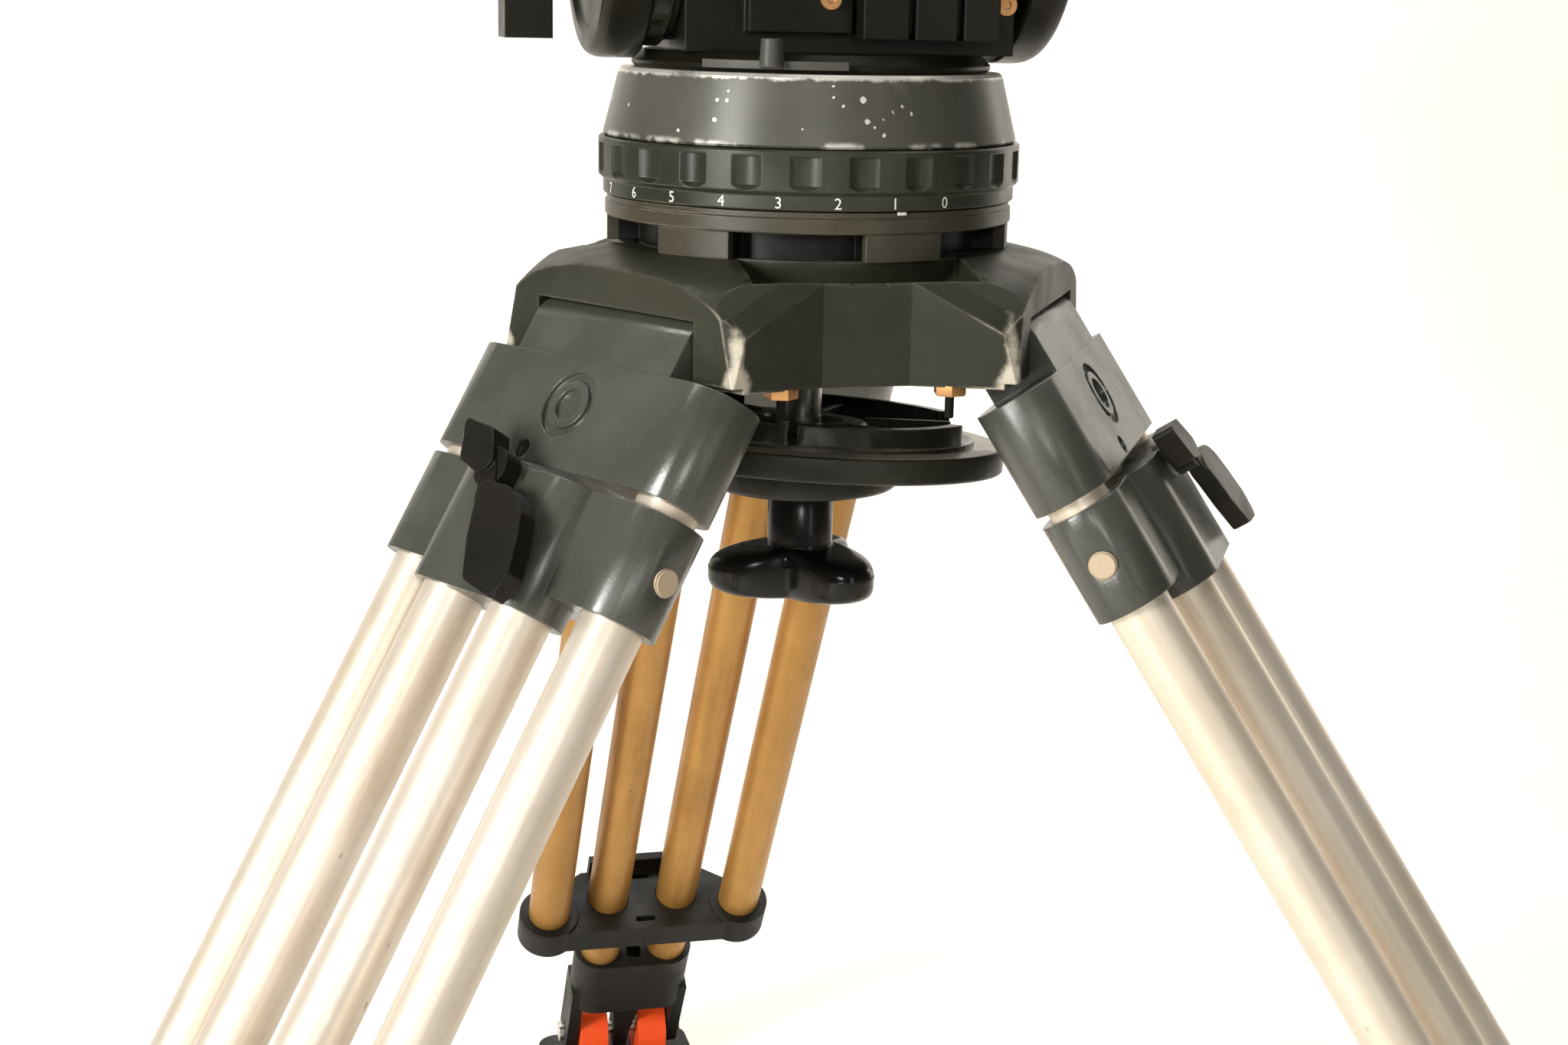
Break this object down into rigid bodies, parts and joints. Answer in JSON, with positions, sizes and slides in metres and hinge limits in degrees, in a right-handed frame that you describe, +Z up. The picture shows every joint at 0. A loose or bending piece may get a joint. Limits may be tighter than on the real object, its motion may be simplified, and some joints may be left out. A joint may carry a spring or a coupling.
{
  "type": "tripod with fluid head",
  "caption": "Film camera tripod with four-tube telescoping legs, a cast crown with a bowl and tie-down, a pan and tilt head with drag rings, a pan bar and a sliding camera plate.",
  "frame": {"origin": "on the floor, on the vertical pan axis", "axes": "+Z up along the pan axis and the camera screw; -Y the way the camera looks; the back leg and the operator at +Y"},
  "size_m": [0.9008, 0.7838, 0.847],
  "materials": {
    "crown_paint": "dark olive-grey paint over a sand casting, worn at the edges",
    "leg_casting": "dark grey satin paint over a casting",
    "leg_tube": "bare drawn tube, scuffed",
    "black_plastic": "black-brown moulded, worn rims",
    "lever_black": "near-black, worn edges",
    "plug": "cream moulded plug",
    "steel": "machined",
    "collar": "red moulded rubber",
    "shoe": "black moulded rubber",
    "clamp": "dark painted casting",
    "knob": "glossy black",
    "head_paint": "green-grey enamel, chipped at the top edge",
    "drag_ring": "black-green anodised, worn ribs",
    "head_base_metal": "grey-brown worn metal",
    "head_black": "black painted metal",
    "control_grey": "grey moulded",
    "copper_screws": "copper-coloured screw heads",
    "level": "green-yellow vial",
    "bar_tube": "bare tube",
    "grip": "black moulded grip"
  },
  "bodies": {
    "crown": {"crown": "crown_paint", "leg_hinge_pins": "steel", "tie_down_stud": "steel", "head_base": "head_base_metal"},
    "clamp_cup": {"clamp_plate": "clamp", "clamp_boss": "clamp"},
    "wing_knob": {"wing_knob": "knob"},
    "right_leg": {"right_shoulder": "leg_casting", "right_outer_tubes": "leg_tube", "right_lower_bracket": "black_plastic"},
    "right_slide": {"right_slider": "leg_casting", "right_inner_tubes": "leg_tube", "right_plugs": "plug", "right_foot_fork": "black_plastic", "right_foot_bolt": "steel"},
    "right_lever": {"right_clamp_lever": "lever_black"},
    "right_foot": {"right_foot_collars": "collar", "right_shoe": "shoe"},
    "back_leg": {"back_shoulder": "leg_casting", "back_outer_tubes": "leg_tube", "back_lower_bracket": "black_plastic"},
    "back_slide": {"back_slider": "leg_casting", "back_inner_tubes": "leg_tube", "back_plugs": "plug", "back_foot_fork": "black_plastic", "back_foot_bolt": "steel"},
    "back_lever": {"back_clamp_lever": "lever_black"},
    "back_foot": {"back_foot_collars": "collar", "back_shoe": "shoe"},
    "left_leg": {"left_shoulder": "leg_casting", "left_outer_tubes": "leg_tube", "left_lower_bracket": "black_plastic"},
    "left_slide": {"left_slider": "leg_casting", "left_inner_tubes": "leg_tube", "left_plugs": "plug", "left_foot_fork": "black_plastic", "left_foot_bolt": "steel"},
    "left_lever": {"left_clamp_lever": "lever_black"},
    "left_foot": {"left_foot_collars": "collar", "left_shoe": "shoe"},
    "pan_ring": {"pan_drag_ring": "drag_ring"},
    "pan_head": {"pan_housing": "head_paint", "head_neck": "head_black", "tilt_housing": "head_black", "head_screws": "copper_screws", "balance_blocks": "head_black"},
    "pan_brake": {"pan_brake": "control_grey"},
    "tilt_ring": {"tilt_drag_ring": "drag_ring"},
    "tilt_cradle": {"left_drum": "head_black", "right_drum": "head_black", "platform": "head_black", "spirit_level": "level"},
    "balance_dial": {"balance_dial": "control_grey"},
    "tilt_brake": {"tilt_brake": "lever_black"},
    "plate_lock": {"plate_lock": "lever_black"},
    "camera_plate": {"camera_plate": "head_black", "camera_screw": "steel"},
    "pan_bar": {"bar_bracket": "head_black", "pan_bar": "bar_tube", "bar_grip": "grip"}
  },
  "joints": [
    {"name": "cup_lift", "type": "slide", "parent": "crown", "child": "clamp_cup", "axis": [0, 0, 1], "range_m": [0, 0.005]},
    {"name": "knob_turn", "type": "hinge", "parent": "clamp_cup", "child": "wing_knob", "pos_m": [0, 0, 0.46703], "axis": [0, 0, 1], "range_deg": [0, 1080]},
    {"name": "right_leg_fold", "type": "hinge", "parent": "crown", "child": "right_leg", "pos_m": [0.08217, -0.04744, 0.57205], "axis": [0.5, 0.866, 0], "range_deg": [0, 13.5]},
    {"name": "right_leg_slide", "type": "slide", "parent": "right_leg", "child": "right_slide", "axis": [0.4767, -0.2752, -0.8348], "range_m": [0, 0.36]},
    {"name": "right_lever_turn", "type": "hinge", "parent": "right_slide", "child": "right_lever", "pos_m": [0.1366, -0.07886, 0.52761], "axis": [0.723, -0.4174, 0.5505], "range_deg": [-110, 0]},
    {"name": "right_foot_tilt", "type": "hinge", "parent": "right_slide", "child": "right_foot", "pos_m": [0.39761, -0.22956, 0.034], "axis": [0.5, 0.866, 0], "range_deg": [-30, 30]},
    {"name": "back_leg_fold", "type": "hinge", "parent": "crown", "child": "back_leg", "pos_m": [0, 0.09488, 0.57205], "axis": [-1, 0, 0], "range_deg": [0, 13.5]},
    {"name": "back_leg_slide", "type": "slide", "parent": "back_leg", "child": "back_slide", "axis": [0, 0.5505, -0.8348], "range_m": [0, 0.36]},
    {"name": "back_lever_turn", "type": "hinge", "parent": "back_slide", "child": "back_lever", "pos_m": [0, 0.15773, 0.52761], "axis": [0, 0.8348, 0.5505], "range_deg": [-110, 0]},
    {"name": "back_foot_tilt", "type": "hinge", "parent": "back_slide", "child": "back_foot", "pos_m": [0, 0.45913, 0.034], "axis": [-1, 0, 0], "range_deg": [-30, 30]},
    {"name": "left_leg_fold", "type": "hinge", "parent": "crown", "child": "left_leg", "pos_m": [-0.08217, -0.04744, 0.57205], "axis": [0.5, -0.866, 0], "range_deg": [0, 13.5]},
    {"name": "left_leg_slide", "type": "slide", "parent": "left_leg", "child": "left_slide", "axis": [-0.4767, -0.2752, -0.8348], "range_m": [0, 0.36]},
    {"name": "left_lever_turn", "type": "hinge", "parent": "left_slide", "child": "left_lever", "pos_m": [-0.1366, -0.07886, 0.52761], "axis": [-0.723, -0.4174, 0.5505], "range_deg": [-110, 0]},
    {"name": "left_foot_tilt", "type": "hinge", "parent": "left_slide", "child": "left_foot", "pos_m": [-0.39761, -0.22956, 0.034], "axis": [0.5, -0.866, 0], "range_deg": [-30, 30]},
    {"name": "pan_drag_turn", "type": "hinge", "parent": "crown", "child": "pan_ring", "pos_m": [0, 0, 0.62703], "axis": [0, 0, 1], "range_deg": [0, 107.8]},
    {"name": "pan", "type": "hinge", "parent": "crown", "child": "pan_head", "pos_m": [0, 0, 0.65703], "axis": [0, 0, 1], "continuous": true},
    {"name": "pan_brake_turn", "type": "hinge", "parent": "pan_head", "child": "pan_brake", "pos_m": [0, 0, 0.68103], "axis": [0, 0, 1], "range_deg": [0, 20]},
    {"name": "tilt_drag_turn", "type": "hinge", "parent": "pan_head", "child": "tilt_ring", "pos_m": [-0.068, 0, 0.74303], "axis": [1, 0, 0], "range_deg": [0, 107.8]},
    {"name": "tilt", "type": "hinge", "parent": "pan_head", "child": "tilt_cradle", "pos_m": [0, 0, 0.74303], "axis": [1, 0, 0], "range_deg": [-45, 70]},
    {"name": "balance_turn", "type": "hinge", "parent": "tilt_cradle", "child": "balance_dial", "pos_m": [0.1, 0, 0.74303], "axis": [1, 0, 0], "range_deg": [0, 330]},
    {"name": "tilt_brake_turn", "type": "hinge", "parent": "tilt_cradle", "child": "tilt_brake", "pos_m": [0.097, -0.02, 0.78303], "axis": [1, 0, 0], "range_deg": [0, 60]},
    {"name": "plate_lock_turn", "type": "hinge", "parent": "tilt_cradle", "child": "plate_lock", "pos_m": [-0.098, -0.034, 0.81903], "axis": [1, 0, 0], "range_deg": [-60, 0]},
    {"name": "plate_slide", "type": "slide", "parent": "tilt_cradle", "child": "camera_plate", "axis": [0, 1, 0], "range_m": [-0.05, 0.05]},
    {"name": "pan_bar_turn", "type": "hinge", "parent": "tilt_cradle", "child": "pan_bar", "pos_m": [-0.11, 0, 0.74303], "axis": [1, 0, 0], "range_deg": [-15, 60]}
  ],
  "couplings": [
    {"joint": "knob_turn", "follows": "cup_lift", "rad_per_m": 3769.9}
  ]
}
